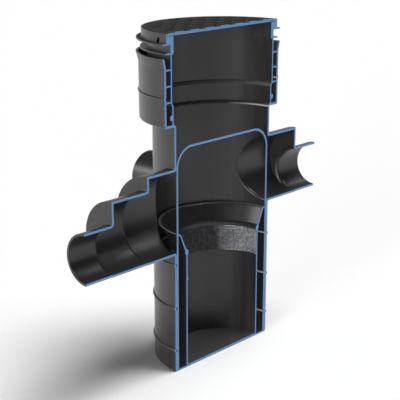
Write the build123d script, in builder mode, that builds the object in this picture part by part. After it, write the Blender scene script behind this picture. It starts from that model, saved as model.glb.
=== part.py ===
from build123d import *
from math import cos, hypot, radians, sin
import os

# Silt trap cut open down its middle: every piece keeps the half behind the plane Y = 0.
# Z is up, the origin is on the chamber's axis at the underside of the base.

# Chamber, neck and base
body_diameter = 315.0
body_wall = 5.3
base_thickness = 4.0
base_corner_radius = 6.0
bead_heights = (51.4, 150.7, 251.4)
bead_rise = 3.1
bead_radius = 4.1
bead_groove_radius = 3.0

# Socket on top of the neck
shelf_height = 563.3
shelf_thickness = 5.5
shelf_round = 7.0
socket_bore_radius = 180.4
socket_draft = 0.6
socket_wall = 5.3
socket_corner_radius = 5.0
socket_depth = 140.2
flare_length = 20.5
rim_flare = 5.0
socket_bead_offset = 56.7
socket_bead_rise = 2.2
socket_bead_radius = 3.0

# Spigots: outer diameters from the body outwards, and how far each step reaches from the axis
spigot_wall = 5.0
step_rise = 0.6
step_fillet = 4.0
mouth_fillet = 6.0
outlet_invert = 274.4
outlet_diameters = (192.0, 160.0, 110.0)
outlet_reaches = (238.8, 339.5, 413.8)
inlet_invert = 331.1
inlet_diameters = (160.0, 110.0)
inlet_reaches = (258.8, 335.0)
back_diameter = 110.0
back_reach = 236.9
mark_distance = 65.0
mark_width = 2.0
mark_depth = 0.8

# Telescopic tube
slide_clearance = 0.3
tube_outer_radius = 167.2
tube_wall = 3.5
foot_step = 4.3
foot_shoulder_offset = 39.4
foot_shoulder_rise = 7.8
foot_bead_offset = 15.0
foot_bead_length = 14.0
foot_bead_rise = 6.4
fin_thickness = 3.4
fin_offsets = (48.1, 82.3, 116.0)
collar_drop = 18.9
collar_thickness = 3.0
collar_radius = 182.2
tube_length = 168.0

# Frame that carries the lid
frame_bore_radius = 158.5
skirt_gap = 0.3
skirt_length = 20.5
band_radius = 179.5
lid_gap = 1.0
band_wall = 3.5
band_height = 22.6
seat_depth = 6.0
flange_radius = 190.3
flange_thickness = 3.1
flange_drop = 0.8
flange_slots = 18
flange_slot_width = 6.0
flange_slot_depth = 2.2
flange_slot_share = 0.80
pocket_angles = (8.0, 98.0, 172.0)
pocket_width = 8.0
pocket_height = 12.5
pocket_offset = 7.5
pocket_depth = 9.0
pocket_lean = -22.0

# Lid
lid_foot_height = 1.2
lid_foot_width = 4.0
lid_thickness = 5.4
grip_height = 1.6
grip_length = 27.0
grip_width = 12.0
grip_pitch_x = 47.0
grip_pitch_y = 19.0
grip_taper = 30.0
grip_margin = 7.0

# Silt bucket and strainer
bucket_radius = 122.0
bucket_wall = 3.7
bucket_floor = 2.0
bucket_top = 270.3
strainer_thickness = 2.4
strainer_gap = 0.2
strainer_height = 61.2
strainer_columns = 20
strainer_rows = 6
mesh_width = 14.5
mesh_height = 8.0
window_middles = (30.0, 86.5, 143.0)
window_angle = 33.0
window_border = 6.0

# Funnel
funnel_wall = 3.2
funnel_foot_rise = 10.7
funnel_foot_depth = 13.0
funnel_grip_gap = 0.2
funnel_grip_wall = 2.0
lip_radius = 146.6
lip_rise = 49.7
lip_width = 7.0
lip_bend_radius = 6.0
lip_edge_radius = 1.2

# Lifting handle
rod_diameter = 5.0
rod_wall_gap = 0.3
rod_notch_gap = 0.3
handle_drop = 53.4
handle_corner_radius = 45.7

# Worked-out values
body_radius = body_diameter / 2
bore_radius = body_radius - body_wall
rim_height = shelf_height + socket_depth
flare_start_height = rim_height - flare_length
socket_bead_height = shelf_height + socket_bead_offset
foot_shoulder_height = shelf_height + foot_shoulder_offset
foot_bead_height = shelf_height + foot_bead_offset
fin_heights = [shelf_height + offset for offset in fin_offsets]
tube_top = shelf_height + tube_length
collar_height = tube_top - collar_drop
skirt_bottom = tube_top - skirt_length
band_top = tube_top + band_height
seat_height = band_top - seat_depth
tube_bore_radius = tube_outer_radius - tube_wall
foot_bore_radius = tube_bore_radius - foot_step
lid_seat_radius = band_radius - band_wall
lid_radius = lid_seat_radius - lid_gap
lid_underside = seat_height + lid_foot_height
lid_plate_top = lid_underside + lid_thickness
rod_centre = bore_radius - rod_wall_gap - rod_diameter / 2
strainer_outer = bucket_radius - bucket_wall - strainer_gap
strainer_inner = strainer_outer - strainer_thickness
strainer_top = bucket_top - strainer_gap
strainer_bottom = strainer_top - strainer_height
funnel_foot_top = bucket_top + funnel_foot_rise
lip_height = bucket_top + lip_rise
handle_top = shelf_height - handle_drop
beyond = 20.0


def socket_radius(height):
    share = (height - shelf_height) / (flare_start_height - shelf_height)
    return socket_bore_radius + socket_draft * share


def keep_back_half():
    split(bisect_by=Plane.XZ, keep=Keep.BOTTOM)


def step_flare(radius, previous_radius, invert, face, arc_radius):
    # Rounded root of a smaller pipe on the end wall of the larger one it grows out of
    axis_height = invert + step_rise + radius
    with BuildPart() as flare:
        with BuildSketch(Plane.XZ):
            with BuildLine():
                root = (face, axis_height + radius + arc_radius)
                tip = (face + arc_radius, axis_height + radius)
                Line((face, axis_height), root)
                RadiusArc(root, tip, -arc_radius)
                Polyline(tip, (face + arc_radius, axis_height), (face, axis_height))
            make_face()
        revolve(axis=Axis((0, 0, axis_height), (1, 0, 0)))
        with BuildSketch(Plane.YZ.offset(face)):
            with Locations((0, invert + previous_radius)):
                Circle(previous_radius)
        extrude(amount=arc_radius, mode=Mode.INTERSECT)
    return flare.part


def stepped_pipe(diameters, reaches, invert, inset, arc_radius, angle, open_end=0.0):
    # A solid stepped pipe along +X, all steps on nearly one invert, turned to its angle about Z
    radii = [diameter / 2 - inset for diameter in diameters]
    levels = [invert + inset + step_rise * index for index in range(len(radii))]
    ends = [reach - inset for reach in reaches[:-1]] + [reaches[-1] + open_end]
    starts = [0.0] + ends[:-1]
    flares = [step_flare(radii[index], radii[index - 1], levels[index - 1], starts[index], arc_radius)
              for index in range(1, len(radii))]
    with BuildPart() as pipe:
        for radius, level, start, end in zip(radii, levels, starts, ends):
            with BuildSketch(Plane.YZ.offset(start)):
                with Locations((0, level + radius)):
                    Circle(radius)
            extrude(amount=end - start)
        if flares:
            add(flares)
    return pipe.part.rotate(Axis.Z, angle)


def insertion_mark(diameter, reach, level, angle):
    # The shallow ring round a spigot that shows how far it goes into a pipe's socket
    with BuildPart() as mark:
        with BuildSketch(Plane.YZ.offset(reach - mark_distance - mark_width)):
            with Locations((0, level + diameter / 2)):
                Circle(diameter / 2 + mark_width)
                Circle(diameter / 2 - mark_depth, mode=Mode.SUBTRACT)
        extrude(amount=mark_width)
    return mark.part.rotate(Axis.Z, angle)


def saddle_edges(edges, radius):
    # The curved joints where a round pipe leaves a round wall of the given radius
    def on_wall(edge):
        point = edge @ 0.5
        return abs(hypot(point.X, point.Y) - radius) < 0.05
    curved = edges.filter_by(lambda e: e.geom_type not in (GeomType.LINE, GeomType.CIRCLE))
    return curved.filter_by(on_wall)


outlet_bore = stepped_pipe(outlet_diameters, outlet_reaches, outlet_invert, spigot_wall,
                           step_fillet + spigot_wall, 180, beyond)
inlet_bore = stepped_pipe(inlet_diameters, inlet_reaches, inlet_invert, spigot_wall,
                          step_fillet + spigot_wall, 0, beyond)
outlet_pipe = stepped_pipe(outlet_diameters, outlet_reaches, outlet_invert, 0, step_fillet, 180)
inlet_pipe = stepped_pipe(inlet_diameters, inlet_reaches, inlet_invert, 0, step_fillet, 0)
back_pipe = stepped_pipe((back_diameter,), (back_reach,), inlet_invert, 0, step_fillet, 90)
outlet_level = outlet_invert + step_rise * (len(outlet_diameters) - 1)
inlet_level = inlet_invert + step_rise * (len(inlet_diameters) - 1)
outlet_mark = insertion_mark(outlet_diameters[-1], outlet_reaches[-1], outlet_level, 180)
inlet_mark = insertion_mark(inlet_diameters[-1], inlet_reaches[-1], inlet_level, 0)
back_mark = insertion_mark(back_diameter, back_reach, inlet_invert, 90)

# Hollow of the body: chamber, neck, socket and the bores of the open spigots
with BuildPart() as hollow:
    with BuildSketch(Plane.XZ):
        with BuildLine():
            shelf_edge = bore_radius + shelf_round
            Polyline((0, base_thickness), (bore_radius, base_thickness),
                     (bore_radius, shelf_height - shelf_round))
            RadiusArc((bore_radius, shelf_height - shelf_round), (shelf_edge, shelf_height), shelf_round)
            Polyline((shelf_edge, shelf_height), (socket_radius(shelf_height), shelf_height),
                     (socket_radius(flare_start_height), flare_start_height),
                     (socket_radius(flare_start_height) + rim_flare, rim_height),
                     (socket_radius(flare_start_height) + rim_flare, rim_height + beyond),
                     (0, rim_height + beyond), (0, base_thickness))
        make_face()
        with Locations(*[(bore_radius, z) for z in bead_heights]):
            Circle(bead_groove_radius)
        with Locations((socket_radius(socket_bead_height), socket_bead_height)):
            Circle(socket_bead_rise)
    revolve(axis=Axis.Z)
    add(outlet_bore)
    add(inlet_bore)
    fillet(saddle_edges(hollow.edges(), bore_radius), radius=mouth_fillet)

# Bore of the back spigot, which the neck wall closes
with BuildPart() as back_bore:
    with BuildSketch(Plane.XZ.offset(-back_reach - beyond)):
        with Locations((0, inlet_invert + back_diameter / 2)):
            Circle(back_diameter / 2 - spigot_wall)
    extrude(amount=back_reach + beyond)
    with BuildSketch(Plane.XY):
        Circle(body_radius)
    extrude(amount=shelf_height, mode=Mode.SUBTRACT)

# Body: outer form, less the hollow, cut on the plane Y = 0
with BuildPart() as body:
    with BuildSketch(Plane.XZ):
        with BuildLine():
            underside = shelf_height - shelf_thickness
            socket_outer = socket_radius(shelf_height) + socket_wall
            flare_outer = socket_radius(flare_start_height) + socket_wall
            Polyline((0, 0), (body_radius, 0), (body_radius, underside), (socket_outer, underside),
                     (flare_outer, flare_start_height), (flare_outer + rim_flare, rim_height),
                     (0, rim_height), (0, 0))
        make_face()
        fillet(vertices().sort_by_distance((body_radius, 0))[0], radius=base_corner_radius)
        fillet(vertices().sort_by_distance((socket_outer, underside))[0], radius=socket_corner_radius)
        with Locations(*[(body_radius + bead_rise - bead_radius, z) for z in bead_heights]):
            Circle(bead_radius)
        with Locations((socket_radius(socket_bead_height) + socket_wall + socket_bead_rise
                        - socket_bead_radius, socket_bead_height)):
            Circle(socket_bead_radius)
    revolve(axis=Axis.Z)
    add(outlet_pipe)
    add(inlet_pipe)
    add(back_pipe)
    fillet(saddle_edges(body.edges(), body_radius), radius=step_fillet)
    add(hollow.part, mode=Mode.SUBTRACT)
    add(back_bore.part, mode=Mode.SUBTRACT)
    add([outlet_mark, inlet_mark, back_mark], mode=Mode.SUBTRACT)
    keep_back_half()
body.part.label = "body"

# Telescopic tube: foot on the shelf, three guide fins, a collar near the top
with BuildPart() as riser_tube:
    with BuildSketch(Plane.XZ):
        with BuildLine():
            foot_outer = foot_bore_radius + tube_wall
            shoulder_top = foot_shoulder_height + foot_shoulder_rise
            Polyline((foot_bore_radius, shelf_height), (foot_outer, shelf_height),
                     (foot_outer, foot_shoulder_height), (tube_outer_radius, shoulder_top),
                     (tube_outer_radius, tube_top), (tube_bore_radius, tube_top),
                     (tube_bore_radius, shoulder_top), (foot_bore_radius, foot_shoulder_height),
                     (foot_bore_radius, shelf_height))
        make_face()
        with BuildLine():
            low = foot_bead_height - foot_bead_length / 2
            high = foot_bead_height + foot_bead_length / 2
            crest = foot_outer + foot_bead_rise
            Polyline((foot_bore_radius, low), (foot_outer, low),
                     (crest, low + foot_bead_rise / 2), (crest, high - foot_bead_rise / 2),
                     (foot_outer, high), (foot_bore_radius, high), (foot_bore_radius, low))
        make_face()
        for height in fin_heights:
            fin_reach = socket_radius(height - fin_thickness / 2) - slide_clearance
            with Locations(((tube_bore_radius + fin_reach) / 2, height)):
                Rectangle(fin_reach - tube_bore_radius, fin_thickness)
        with Locations(((tube_bore_radius + collar_radius) / 2, collar_height)):
            Rectangle(collar_radius - tube_bore_radius, collar_thickness)
    revolve(axis=Axis.Z)
    keep_back_half()
riser_tube.part.label = "riser_tube"

# Frame: skirt inside the tube, seat for the lid, anchor flange with slots, lock pockets
with BuildPart() as cover_frame:
    with BuildSketch(Plane.XZ):
        with BuildLine():
            skirt_radius = tube_bore_radius - skirt_gap
            Polyline((frame_bore_radius, skirt_bottom), (skirt_radius, skirt_bottom),
                     (skirt_radius, tube_top), (band_radius, tube_top), (band_radius, band_top),
                     (lid_seat_radius, band_top), (lid_seat_radius, seat_height),
                     (frame_bore_radius, seat_height), (frame_bore_radius, skirt_bottom))
        make_face()
        flange_middle = tube_top - flange_drop + flange_thickness / 2
        with Locations(((skirt_radius + flange_radius) / 2 + tube_wall, flange_middle)):
            Rectangle(flange_radius - skirt_radius - 2 * tube_wall, flange_thickness)
    revolve(axis=Axis.Z)
    with BuildSketch(Plane.XY.offset(flange_middle + flange_thickness / 2)):
        slot_pitch = 360 / flange_slots
        for index in range(flange_slots // 2):
            start = slot_pitch * (index + (1 - flange_slot_share) / 2)
            slot_line = CenterArc((0, 0), (band_radius + flange_radius) / 2, start,
                                  slot_pitch * flange_slot_share)
            SlotArc(slot_line, flange_slot_width)
    extrude(amount=-flange_slot_depth, mode=Mode.SUBTRACT)
    for angle in pocket_angles:
        outward = Vector(cos(radians(angle)), sin(radians(angle)), 0)
        centre = outward * band_radius + Vector(0, 0, tube_top + pocket_offset)
        pocket_plane = Plane(centre, x_dir=Vector(-outward.Y, outward.X, 0), z_dir=outward)
        with BuildSketch(pocket_plane):
            Rectangle(pocket_width, pocket_height, rotation=pocket_lean)
        extrude(amount=pocket_depth, both=True, mode=Mode.SUBTRACT)
    keep_back_half()
cover_frame.part.label = "cover_frame"

# Lid: a plate on a low foot ring, with staggered grip pads
with BuildPart() as lid:
    with BuildSketch(Plane.XY.offset(lid_underside)):
        Circle(lid_radius)
    extrude(amount=lid_thickness)
    with BuildSketch(Plane.XY.offset(seat_height)):
        Circle(lid_radius)
        Circle(lid_radius - lid_foot_width, mode=Mode.SUBTRACT)
    extrude(amount=lid_foot_height)
    with BuildSketch(Plane.XY.offset(lid_plate_top)) as grip:
        rows = int(lid_radius // grip_pitch_y) + 1
        columns = int(lid_radius // grip_pitch_x) + 1
        reach = lid_radius - grip_margin
        for row in range(rows):
            shift = grip_pitch_x / 2 if row % 2 else 0.0
            for column in range(-columns, columns + 1):
                x, y = column * grip_pitch_x + shift, row * grip_pitch_y
                if hypot(abs(x) + grip_length / 2, abs(y) + grip_width / 2) < reach:
                    with Locations((x, y)):
                        Rectangle(grip_length, grip_width)
    extrude(amount=grip_height, taper=grip_taper)
    keep_back_half()
lid.part.label = "lid"

# Bucket: tube with a floor, and windows behind the strainer
with BuildPart() as bucket:
    with BuildSketch(Plane.XZ):
        with BuildLine():
            inner = bucket_radius - bucket_wall
            floor_top = base_thickness + bucket_floor
            Polyline((0, base_thickness), (bucket_radius, base_thickness), (bucket_radius, bucket_top),
                     (inner, bucket_top), (inner, floor_top), (0, floor_top), (0, base_thickness))
        make_face()
    revolve(axis=Axis.Z)
    window_low = strainer_bottom + window_border
    window_high = strainer_top - window_border
    with BuildSketch(Plane.XY.offset(window_low)):
        for middle in window_middles:
            with BuildLine():
                wide = bucket_radius + beyond
                ends = [Vector(cos(radians(a)), sin(radians(a))) * wide
                        for a in (middle - window_angle / 2, middle + window_angle / 2)]
                Polyline((0, 0), ends[0], ends[1], (0, 0))
            make_face()
        Circle(strainer_inner, mode=Mode.SUBTRACT)
    extrude(amount=window_high - window_low, mode=Mode.SUBTRACT)
    keep_back_half()
bucket.part.label = "bucket"

# Strainer: an open diamond mesh band that lines the bucket's top
with BuildPart() as strainer:
    with BuildSketch(Plane.XZ):
        with Locations(((strainer_inner + strainer_outer) / 2, (strainer_bottom + strainer_top) / 2)):
            Rectangle(strainer_thickness, strainer_top - strainer_bottom)
    revolve(axis=Axis.Z)
    mesh_pitch = (strainer_top - strainer_bottom) / strainer_rows
    for column in range(strainer_columns):
        angle = radians(180 / strainer_columns * (column + 0.5))
        outward = Vector(cos(angle), sin(angle), 0)
        middle_height = Vector(0, 0, (strainer_bottom + strainer_top) / 2)
        mesh_plane = Plane(outward * strainer_outer + middle_height, x_dir=(0, 0, 1), z_dir=outward)
        with BuildSketch(mesh_plane):
            with GridLocations(mesh_pitch, mesh_width, strainer_rows, 1):
                Polygon((-mesh_height / 2, 0), (0, -mesh_width / 2), (mesh_height / 2, 0), (0, mesh_width / 2))
        extrude(amount=strainer_thickness * 2, both=True, mode=Mode.SUBTRACT)
    keep_back_half()
strainer.part.label = "strainer"

# Lifting handle: a round bar bent to an arch, legs down beside the bucket
with BuildPart() as lifting_handle:
    with BuildLine():
        FilletPolyline((-rod_centre, 0, base_thickness), (-rod_centre, 0, handle_top),
                       (rod_centre, 0, handle_top), (rod_centre, 0, base_thickness),
                       radius=handle_corner_radius)
    with BuildSketch(Plane((-rod_centre, 0, base_thickness), z_dir=(0, 0, 1))):
        Circle(rod_diameter / 2)
    sweep()
    keep_back_half()
lifting_handle.part.label = "lifting_handle"

# Funnel: conical dish with a rounded lip, its foot gripping the bucket's top edge
with BuildPart() as funnel:
    with BuildSketch(Plane.XZ):
        with BuildLine():
            cone_top = lip_height - funnel_wall
            cone_foot = bucket_radius
            lip_inner = lip_radius - lip_width
            Polyline((strainer_inner, funnel_foot_top - funnel_wall), (cone_foot, funnel_foot_top),
                     (lip_inner, lip_height - funnel_wall / 2), (lip_radius, lip_height),
                     (lip_radius, cone_top), (lip_inner + funnel_wall / 2, cone_top - funnel_wall / 2),
                     (cone_foot + funnel_wall, funnel_foot_top - funnel_wall),
                     (cone_foot + funnel_wall, bucket_top),
                     (strainer_inner, bucket_top), (strainer_inner, funnel_foot_top - funnel_wall))
        make_face()
        bend = vertices().sort_by_distance((lip_inner, lip_height - funnel_wall / 2))[0]
        fillet(bend, radius=lip_bend_radius)
        edge = vertices().group_by(Axis.X)[-1]
        fillet(edge, radius=lip_edge_radius)
        grip_outer = bucket_radius + funnel_grip_gap + funnel_grip_wall
        grip_bottom = funnel_foot_top - funnel_foot_depth
        with Locations((grip_outer - funnel_grip_wall / 2, (grip_bottom + funnel_foot_top - funnel_wall) / 2)):
            Rectangle(funnel_grip_wall, funnel_foot_top - funnel_wall - grip_bottom)
    revolve(axis=Axis.Z)
    with BuildSketch(Plane.XY.offset(strainer_top)):
        with Locations((-rod_centre, 0), (rod_centre, 0)):
            Circle(rod_diameter / 2 + rod_notch_gap)
    extrude(amount=lip_height, mode=Mode.SUBTRACT)
    keep_back_half()
funnel.part.label = "funnel"

os.makedirs("parts", exist_ok=True)
export_step(body.part, "parts/body.step")
export_step(riser_tube.part, "parts/riser_tube.step")
export_step(cover_frame.part, "parts/cover_frame.step")
export_step(lid.part, "parts/lid.step")
export_step(bucket.part, "parts/bucket.step")
export_step(strainer.part, "parts/strainer.step")
export_step(funnel.part, "parts/funnel.step")
export_step(lifting_handle.part, "parts/lifting_handle.step")
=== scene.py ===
import bpy
import math
import bmesh
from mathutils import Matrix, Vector


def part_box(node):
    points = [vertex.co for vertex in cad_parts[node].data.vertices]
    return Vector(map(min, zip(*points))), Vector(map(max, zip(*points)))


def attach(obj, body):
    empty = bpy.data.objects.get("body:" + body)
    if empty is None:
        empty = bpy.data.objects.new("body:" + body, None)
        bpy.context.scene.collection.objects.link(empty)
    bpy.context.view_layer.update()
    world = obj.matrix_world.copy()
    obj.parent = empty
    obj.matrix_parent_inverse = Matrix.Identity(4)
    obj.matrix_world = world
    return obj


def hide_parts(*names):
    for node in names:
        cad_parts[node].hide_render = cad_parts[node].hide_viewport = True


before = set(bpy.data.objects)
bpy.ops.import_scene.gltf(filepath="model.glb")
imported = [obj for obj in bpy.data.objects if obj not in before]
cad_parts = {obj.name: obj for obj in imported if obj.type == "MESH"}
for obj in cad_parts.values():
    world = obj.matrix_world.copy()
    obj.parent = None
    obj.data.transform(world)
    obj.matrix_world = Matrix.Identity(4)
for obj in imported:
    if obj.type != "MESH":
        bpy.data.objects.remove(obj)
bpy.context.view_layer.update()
print("stage 1: frame loaded,", len(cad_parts), "nodes")


class Wire:
    # one output socket; sums on wires become Math nodes
    def __init__(self, tree, socket):
        self.tree = tree
        self.socket = socket

    def math(self, operation, other=None, flipped=False):
        if other is None:
            values = {0: self}
        else:
            values = {0: other, 1: self} if flipped else {0: self, 1: other}
        return node(self.tree, "ShaderNodeMath", {"operation": operation}, values)

    def __add__(self, other):
        return self.math("ADD", other)

    def __radd__(self, other):
        return self.math("ADD", other, True)

    def __sub__(self, other):
        return self.math("SUBTRACT", other)

    def __rsub__(self, other):
        return self.math("SUBTRACT", other, True)

    def __mul__(self, other):
        return self.math("MULTIPLY", other)

    def __rmul__(self, other):
        return self.math("MULTIPLY", other, True)

    def __lt__(self, other):
        return self.math("LESS_THAN", other)

    def __gt__(self, other):
        return self.math("GREATER_THAN", other)

    def __abs__(self):
        return self.math("ABSOLUTE")


def node(tree, kind, settings=None, values=None, out=0):
    # makes any node: settings first, then its sockets, as numbers, colours or wires
    made = tree.nodes.new(kind)
    for name, setting in (settings or {}).items():
        if name == "stops":
            ramp = made.color_ramp
            while len(ramp.elements) < len(setting):
                ramp.elements.new(0.5)
            for element, (place, shade) in zip(ramp.elements, setting):
                element.position = place
                element.color = (shade, shade, shade, 1)
        else:
            setattr(made, name, setting)
    for name, value in (values or {}).items():
        if isinstance(value, Wire):
            tree.links.new(value.socket, made.inputs[name])
        else:
            made.inputs[name].default_value = value
    return Wire(tree, made.outputs[out]) if made.outputs else None


def paint(name, draw):
    # a new material; draw gets its node tree and returns the surface wire
    material = bpy.data.materials.new(name)
    material.use_nodes = True
    tree = material.node_tree
    tree.nodes.clear()
    surface = draw(tree)
    node(tree, "ShaderNodeOutputMaterial", None, {"Surface": surface})
    return material


def rgba(colour):
    return (*colour, 1.0)


def mixColour(tree, factor, first, second, blend="MIX"):
    # sockets 6 and 7 are the colours of a Mix node, and 2 is its colour output
    values = {0: factor, 6: first, 7: second}
    return node(tree, "ShaderNodeMix", {"data_type": "RGBA", "blend_type": blend}, values, 2)


def fadeIn(tree, value, start, end):
    # 0 up to start, 1 from end on
    return node(tree, "ShaderNodeValToRGB", {"stops": ((start, 0.0), (end, 1.0))}, {"Fac": value})


def cloud(tree, where, scale, detail=3.0, roughness=0.55):
    values = {"Vector": where, "Scale": scale, "Detail": detail, "Roughness": roughness}
    return node(tree, "ShaderNodeTexNoise", None, values)


def placeOf(tree):
    # place on the piece in metres, which moves along with it
    return node(tree, "ShaderNodeTexCoord", None, None, "Object")


def axisOf(tree, vector, axis):
    return node(tree, "ShaderNodeSeparateXYZ", None, {"Vector": vector}, axis)


# The sawn faces of every piece: painted blue with a faint mottle
cutFace = {
    "colour": (0.129, 0.278, 0.550),
    "shade": (0.107, 0.240, 0.495),
    "roughness": 0.55,
    "reach": 0.00015,
    "facing": -0.7,
    "mottleScale": 260.0,
}


def cutMask(tree):
    # 1 on what lies in the plane Y = 0 and looks towards -Y
    facing = node(tree, "ShaderNodeNewGeometry", None, None, "True Normal")
    y = axisOf(tree, placeOf(tree), "Y")
    return (abs(y) < cutFace["reach"]) * (axisOf(tree, facing, "Y") < cutFace["facing"])


def drawnAlong(tree, place, look):
    # streaks of the moulding run up the chamber and outwards along the spigots
    fine, long = look["streakScale"], look["streakLength"]
    upright = node(tree, "ShaderNodeMapping", None, {"Vector": place, "Scale": (fine, fine, long)})
    outward = node(tree, "ShaderNodeMapping", None, {"Vector": place, "Scale": (long, fine, fine)})
    onSpigot = abs(axisOf(tree, place, "X")) > look["spigotFrom"]
    # sockets 4 and 5 are the vectors of a Mix node, and 1 is its vector output
    along = node(tree, "ShaderNodeMix", {"data_type": "VECTOR"}, {0: onSpigot, 4: upright, 5: outward}, 1)
    return cloud(tree, along, 1.0, detail=4.0, roughness=0.6)


def ringMask(tree, place, rings):
    # 1 on rings round the axis, each between two radii and within its reach of a height; a ring
    # with fromX fades in from there towards +X
    x, y, z = [axisOf(tree, place, axis) for axis in "XYZ"]
    radius = (x * x + y * y).math("SQRT")
    mask = 0.0
    for ring in rings:
        band = (radius > ring["inner"]) * (radius < ring["outer"])
        band = band * (abs(z - ring["height"]) < ring["reach"])
        if "fromX" in ring:
            values = {"Value": x, "From Min": ring["fromX"], "From Max": ring["fromX"] + ring["fade"]}
            band = band * node(tree, "ShaderNodeMapRange", None, values)
        mask = mask + band
    return mask


def plasticDraw(look):
    def draw(tree):
        place = placeOf(tree)
        cut = cutMask(tree)
        broad = cloud(tree, place, look["cloudScale"])
        grain = cloud(tree, place, look["grainScale"], detail=2.0)
        streak = drawnAlong(tree, place, look)
        tone = look["broadShare"] * broad + (1 - look["broadShare"]) * streak
        tone = fadeIn(tree, tone, look["toneFrom"], look["toneTo"])
        mottled = mixColour(tree, tone, rgba(look["colour"]), rgba(look["shade"]))
        # coloured rings: painted highlights in the shell's grooves, at its neck and on the funnel's lip,
        # painted light on the riser's step, painted shade on the frame's slot floors, and a lighter
        # bucket floor
        if look["tintRings"]:
            least = look["tintLeast"]
            tinted = ringMask(tree, place, look["tintRings"]) * (least + (1 - least) * streak)
            mottled = mixColour(tree, tinted, mottled, rgba(look["tintColour"]))
        mottle = cloud(tree, place, cutFace["mottleScale"], detail=1.0)
        blue = mixColour(tree, mottle, rgba(cutFace["colour"]), rgba(cutFace["shade"]))
        polish = look["roughness"] + (streak - 0.5) * look["roughSpread"]
        if look["dulled"]:
            polish = polish + ringMask(tree, place, look["dulled"]) * look["dullness"]
        bump = node(tree, "ShaderNodeBump", None, {
            "Strength": look["bump"], "Distance": look["grainDepth"], "Height": grain * (1 - cut)})
        return node(tree, "ShaderNodeBsdfPrincipled", None, {
            "Base Color": mixColour(tree, cut, mottled, blue),
            "Roughness": polish * (1 - cut) + cut * cutFace["roughness"],
            "Normal": bump, "Specular IOR Level": look["specular"]})
    return draw


def dress(nodeName, look):
    material = paint(nodeName + "Finish", plasticDraw(look))
    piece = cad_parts[nodeName]
    piece.data.materials.clear()
    piece.data.materials.append(material)


# Shell: satin black, lighter in colour in its grooves and at the right of the neck's top edge, which are
# painted highlights, and duller on the neck's rounding and inside the flare of the socket
groove = {"inner": 0.1524, "outer": 0.1560, "reach": 0.0022}
chamberGrooveHighlights = [dict(groove, height=height) for height in (0.0514, 0.1507, 0.2514)]
socketGrooveHighlight = {"inner": 0.1808, "outer": 0.1834, "height": 0.6200, "reach": 0.0022}
neckEdgeHighlight = {
    "inner": 0.1518, "outer": 0.1550, "height": 0.5575, "reach": 0.0016,
    "fromX": 0.118, "fade": 0.035,
}
neckRounding = {"inner": 0.1515, "outer": 0.1605, "height": 0.5600, "reach": 0.0040}
socketFlare = {"inner": 0.1800, "outer": 0.1856, "height": 0.6900, "reach": 0.0130}
shellLook = {
    "colour": (0.010, 0.010, 0.0105), "shade": (0.019, 0.019, 0.0195),
    "cloudScale": 9.0, "broadShare": 0.35, "toneFrom": 0.3, "toneTo": 0.7,
    "streakScale": 85.0, "streakLength": 2.5, "spigotFrom": 0.1580,
    "roughness": 0.34, "roughSpread": 0.22, "specular": 0.5,
    "grainScale": 900.0, "grainDepth": 0.0004, "bump": 0.12,
    "tintRings": chamberGrooveHighlights + [socketGrooveHighlight, neckEdgeHighlight],
    "tintColour": (0.40, 0.40, 0.39), "tintLeast": 0.55,
    "dulled": [socketFlare, neckRounding], "dullness": 0.5,
}
dress("body", shellLook)
plainLook = dict(shellLook, tintRings=[], dulled=[])

# Riser tube, with a matt step above its foot whose lower part has painted light, a lighter colour that
# lifts the step's shade
footStep = {"inner": 0.1585, "outer": 0.1645, "height": 0.6062, "reach": 0.0045}
footStepPaintedLight = dict(footStep, height=0.6052, reach=0.0027)
riserLook = dict(
    plainLook, colour=(0.011, 0.011, 0.0115), shade=(0.016, 0.016, 0.0165),
    tintRings=[footStepPaintedLight], tintColour=(0.05, 0.05, 0.05), dulled=[footStep], dullness=0.35)
dress("riser_tube", riserLook)

# Frame, with painted shade on the floor of the slots in its flange: near black there, and matt
slotFloorPaintedShade = {"inner": 0.1815, "outer": 0.1885, "height": 0.7314, "reach": 0.0006}
frameLook = dict(
    plainLook, roughness=0.38,
    tintRings=[slotFloorPaintedShade], tintColour=(0.001, 0.001, 0.001), dulled=[slotFloorPaintedShade], dullness=0.5)
dress("cover_frame", frameLook)

# Bucket, lighter in colour on its floor
bucketFloor = {"inner": -1.0, "outer": 0.1195, "height": 0.0060, "reach": 0.0008}
bucketLook = dict(plainLook, tintRings=[bucketFloor], tintColour=(0.048, 0.048, 0.048))
dress("bucket", bucketLook)

# Funnel, with a painted highlight, a lighter line, along its lip
lipHighlight = {"inner": 0.1395, "outer": 0.1470, "height": 0.3195, "reach": 0.0014}
funnelLook = dict(
    plainLook, colour=(0.008, 0.008, 0.0085), shade=(0.013, 0.013, 0.0135),
    roughness=0.36, roughSpread=0.12, bump=0.05,
    tintRings=[lipHighlight], tintColour=(0.09, 0.09, 0.09))
dress("funnel", funnelLook)

# Lid, the dullest of the plastics
lidLook = dict(
    plainLook, colour=(0.005, 0.005, 0.0053), shade=(0.013, 0.013, 0.0134),
    roughness=0.6, cloudScale=60.0, specular=0.2)
dress("lid", lidLook)

# Handle, a coated bar
handleLook = dict(
    plainLook, colour=(0.012, 0.012, 0.013), shade=(0.018, 0.018, 0.019), roughness=0.3, bump=0.05)
dress("lifting_handle", handleLook)
print("stage 2: plastics painted")

# Woven wire band of the strainer, in a folded hem at its top and bottom
strainerLook = {
    "columns": 144, "rows": 24, "wire": 0.00043, "wave": 0.00040, "inset": 0.0012,
    "hemHeight": 0.0022, "hemThickness": 0.0011, "hemShade": 0.45,
    "colour": (0.18, 0.182, 0.186), "shade": (0.030, 0.031, 0.038),
    "roughness": 0.45, "roughSpread": 0.2, "fineScale": 700.0, "dullScale": 70.0,
    "speckScale": 170.0, "speckFrom": 0.45, "speckTo": 0.58, "speckDepth": 0.5,
    # painted light: the weave's colour grows up to twice as bright over these x, towards the inlet
    "paintedLightFrom": 0.085, "paintedLightTo": 0.116, "paintedLight": 2.0,
}
low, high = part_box("strainer")
weaveRadius = high.x - strainerLook["inset"]
bottom, top = low.z, high.z


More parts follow.
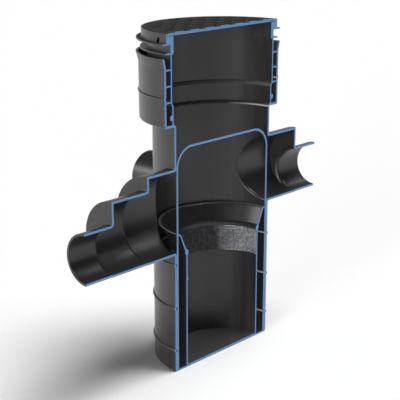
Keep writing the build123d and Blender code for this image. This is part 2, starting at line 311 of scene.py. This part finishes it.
def ringPoint(radius, angle, height):
    return Vector((radius * math.cos(angle), radius * math.sin(angle), height))


def closeTube(bm, rings):
    # joins rings of corners to a tube, closed at its two ends
    count = len(rings[0])
    for first, second in zip(rings, rings[1:]):
        for side in range(count):
            after = (side + 1) % count
            bm.faces.new((first[side], first[after], second[after], second[side]))
    bm.faces.new(rings[0][::-1])
    bm.faces.new(rings[-1])


def addWire(bm, line, radius, sides=4):
    # a thin tube along a line of points
    rings = []
    turns = [2 * math.pi * (side + 0.5) / sides for side in range(sides)]
    for index, point in enumerate(line):
        ahead = line[min(index + 1, len(line) - 1)] - line[max(index - 1, 0)]
        ahead.normalize()
        outward = Vector((point.x, point.y, 0)).normalized()
        across = ahead.cross(outward).normalized()
        lift = across.cross(ahead)
        corners = [point + radius * (math.cos(turn) * across + math.sin(turn) * lift) for turn in turns]
        rings.append([bm.verts.new(corner) for corner in corners])
    closeTube(bm, rings)


def addHem(bm, radius, thickness, low, high, steps=96):
    # a flat band with four sides
    rings = []
    for step in range(steps + 1):
        angle = math.pi * step / steps
        corners = ((radius - thickness, low), (radius + thickness, low),
                   (radius + thickness, high), (radius - thickness, high))
        rings.append([bm.verts.new(ringPoint(r, angle, z)) for r, z in corners])
    closeTube(bm, rings)


def weaveBand(bm):
    columns, rows = strainerLook["columns"], strainerLook["rows"]
    wave, wire = strainerLook["wave"], strainerLook["wire"]
    for column in range(columns):
        angle = math.pi * (column + 0.5) / columns
        line = []
        for step in range(2 * rows + 1):
            bend = wave * math.sin(math.pi * (step / 2 + 0.5 + column))
            line.append(ringPoint(weaveRadius + bend, angle, bottom + (top - bottom) * step / (2 * rows)))
        addWire(bm, line, wire)
    for row in range(rows):
        height = bottom + (top - bottom) * (row + 0.5) / rows
        line = []
        for step in range(2 * columns + 1):
            bend = -wave * math.sin(math.pi * (step / 2 + row))
            line.append(ringPoint(weaveRadius + bend, math.pi * step / (2 * columns), height))
        addWire(bm, line, wire)
    hem, thickness = strainerLook["hemHeight"], strainerLook["hemThickness"]
    addHem(bm, weaveRadius, thickness, bottom, bottom + hem)
    addHem(bm, weaveRadius, thickness, top - hem, top)


bm = bmesh.new()
weaveBand(bm)
weaveMesh = bpy.data.meshes.new("strainerWeave")
bm.normal_update()
bm.to_mesh(weaveMesh)
bm.free()
weaveMesh.polygons.foreach_set("use_smooth", [True] * len(weaveMesh.polygons))
weave = bpy.data.objects.new("strainerWeave", weaveMesh)
bpy.context.scene.collection.objects.link(weave)


def wireDraw(tree):
    # speckled steel, darker in the hems, and painted lighter towards the inlet, a painted light up to
    # twice as bright
    place = placeOf(tree)
    cut = cutMask(tree)
    dull = cloud(tree, place, strainerLook["dullScale"], detail=4.0, roughness=0.6)
    fine = cloud(tree, place, strainerLook["fineScale"], detail=2.0)
    speck = cloud(tree, place, strainerLook["speckScale"], detail=1.5)
    speck = fadeIn(tree, speck, strainerLook["speckFrom"], strainerLook["speckTo"])
    tone = dull * (1 - strainerLook["speckDepth"]) + speck * strainerLook["speckDepth"]
    hemFrom = (top - bottom) / 2 - strainerLook["hemHeight"]
    hem = abs(axisOf(tree, place, "Z") - (top + bottom) / 2) > hemFrom
    paintedLight = node(tree, "ShaderNodeMapRange", None, {
        "Value": axisOf(tree, place, "X"), "From Min": strainerLook["paintedLightFrom"],
        "From Max": strainerLook["paintedLightTo"], "To Min": 1.0, "To Max": strainerLook["paintedLight"]})
    steel = mixColour(tree, tone, rgba(strainerLook["shade"]), rgba(strainerLook["colour"]))
    steel = mixColour(tree, 1.0, steel, paintedLight * (1 - hem * strainerLook["hemShade"]), "MULTIPLY")
    polish = strainerLook["roughness"] + (fine - 0.5) * strainerLook["roughSpread"]
    return node(tree, "ShaderNodeBsdfPrincipled", None, {
        "Base Color": mixColour(tree, cut, steel, rgba(cutFace["colour"])),
        "Metallic": 1 - cut, "Roughness": polish * (1 - cut) + cut * cutFace["roughness"]})


weaveMesh.materials.append(paint("strainerWire", wireDraw))
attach(weave, "trap")
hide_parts("strainer")
print("stage 3: strainer woven,", len(weaveMesh.polygons), "faces")

# Camera: where it stands, in metres, and how far it looks down and is turned, in degrees
photoCamera = {
    "place": (-1.7236, -1.5074, 1.0400), "tilt": 16.2503, "turn": 47.3257,
    "lens": 95.92, "sensor": 36.0, "shiftX": 0.00813, "shiftY": -0.00718, "clipEnd": 200.0,
}
eye = bpy.data.cameras.new("photoCamera")
eye.lens = photoCamera["lens"]
eye.sensor_width = photoCamera["sensor"]
eye.shift_x = photoCamera["shiftX"]
eye.shift_y = photoCamera["shiftY"]
eye.clip_end = photoCamera["clipEnd"]
camera = bpy.data.objects.new("photoCamera", eye)
camera.location = photoCamera["place"]
camera.rotation_euler = (math.radians(90 - photoCamera["tilt"]), 0, -math.radians(photoCamera["turn"]))
bpy.context.scene.collection.objects.link(camera)
bpy.context.scene.camera = camera

# Pale floor that keeps the soft shadow, under a sky that is white at the horizon
stageLook = {
    "size": 400.0, "floorColour": (0.89, 0.89, 0.89),
    "skyLight": (0.03, 0.03, 0.03), "horizon": 1.0, "ceiling": 0.06, "fade": (0.06, 0.24),
}


def floorDraw(tree):
    return node(tree, "ShaderNodeBsdfDiffuse", None, {"Color": rgba(stageLook["floorColour"])})


floorMesh = bpy.data.meshes.new("floor")
half = stageLook["size"] / 2
floorCorners = [(-half, -half, 0), (half, -half, 0), (half, half, 0), (-half, half, 0)]
floorMesh.from_pydata(floorCorners, [], [(0, 1, 2, 3)])
floor = bpy.data.objects.new("floor", floorMesh)
floor.data.materials.append(paint("floorFinish", floorDraw))
bpy.context.scene.collection.objects.link(floor)


def skyDraw(tree):
    # what is seen of the sky, also in gloss, is white at the horizon and dim overhead
    direction = node(tree, "ShaderNodeTexCoord", None, None, "Generated")
    stops = ((stageLook["fade"][0], stageLook["horizon"]), (stageLook["fade"][1], stageLook["ceiling"]))
    shade = node(tree, "ShaderNodeValToRGB", {"stops": stops}, {"Fac": axisOf(tree, direction, "Z")})
    lit = node(tree, "ShaderNodeBackground", None, {"Color": rgba(stageLook["skyLight"])})
    shown = node(tree, "ShaderNodeBackground", None, {"Color": shade})
    seen, glossy, through = [
        node(tree, "ShaderNodeLightPath", None, None, ray)
        for ray in ("Is Camera Ray", "Is Glossy Ray", "Is Transmission Ray")]
    direct = seen.math("MAXIMUM", glossy).math("MAXIMUM", through)
    return node(tree, "ShaderNodeMixShader", None, {0: direct, 1: lit, 2: shown})


sky = bpy.data.worlds.new("paleSky")
sky.use_nodes = True
sky.node_tree.nodes.clear()
node(sky.node_tree, "ShaderNodeOutputWorld", None, {"Surface": skyDraw(sky.node_tree)})
bpy.context.scene.world = sky

# Soft lamps: where each stands (degrees round from +X, degrees up), how bright it is and how wide
# it looks. Some light only the pieces or the weave, and the sparkle lamp, which draws the glints
# on lips and grooves, casts no shadow.
thePieces = list(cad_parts.values()) + [weave]
softLamps = {
    "leftLow": {"turn": 170, "rise": 8, "power": 0.80, "spread": 26, "only": thePieces},
    "leftLowFront": {"turn": 195, "rise": 8, "power": 0.38, "spread": 26},
    "leftEdge": {"turn": 189, "rise": 8, "power": 0.10, "spread": 6},
    "strainerEdge": {"turn": 203.4, "rise": 8, "power": 2.4, "spread": 3, "only": [weave]},
    "front": {"turn": 225, "rise": 15, "power": 0.037, "spread": 26},
    "rightHigh": {"turn": 0, "rise": 60, "power": 0.37, "spread": 26},
    "rightFrontHigh": {"turn": 315, "rise": 60, "power": 0.24, "spread": 26},
    "overhead": {"turn": 315, "rise": 75, "power": 0.50, "spread": 26},
    "sparkle": {"turn": 145, "rise": 24, "power": 0.49, "spread": 16, "shadow": False, "only": thePieces},
}
lampDistance = 4.0  # metres from the middle; a sun lamp shines alike from any distance
for name, spot in softLamps.items():
    lamp = bpy.data.lights.new(name, "SUN")
    lamp.angle = math.radians(spot["spread"])
    lamp.energy = math.pi * spot["power"]
    lamp.use_shadow = spot.get("shadow", True)
    holder = bpy.data.objects.new(name, lamp)
    if "only" in spot:
        lit = bpy.data.collections.new(name + "Lit")
        for piece in spot["only"]:
            lit.objects.link(piece)
        holder.light_linking.receiver_collection = lit
    turn, rise = math.radians(spot["turn"]), math.radians(spot["rise"])
    towards = Vector((math.cos(rise) * math.cos(turn), math.cos(rise) * math.sin(turn), math.sin(rise)))
    holder.location = towards * lampDistance
    holder.rotation_euler = (-towards).to_track_quat("-Z", "Y").to_euler()
    bpy.context.scene.collection.objects.link(holder)
bpy.context.scene.view_settings.view_transform = "Standard"
print("stage 4: camera, floor, sky and lamps")
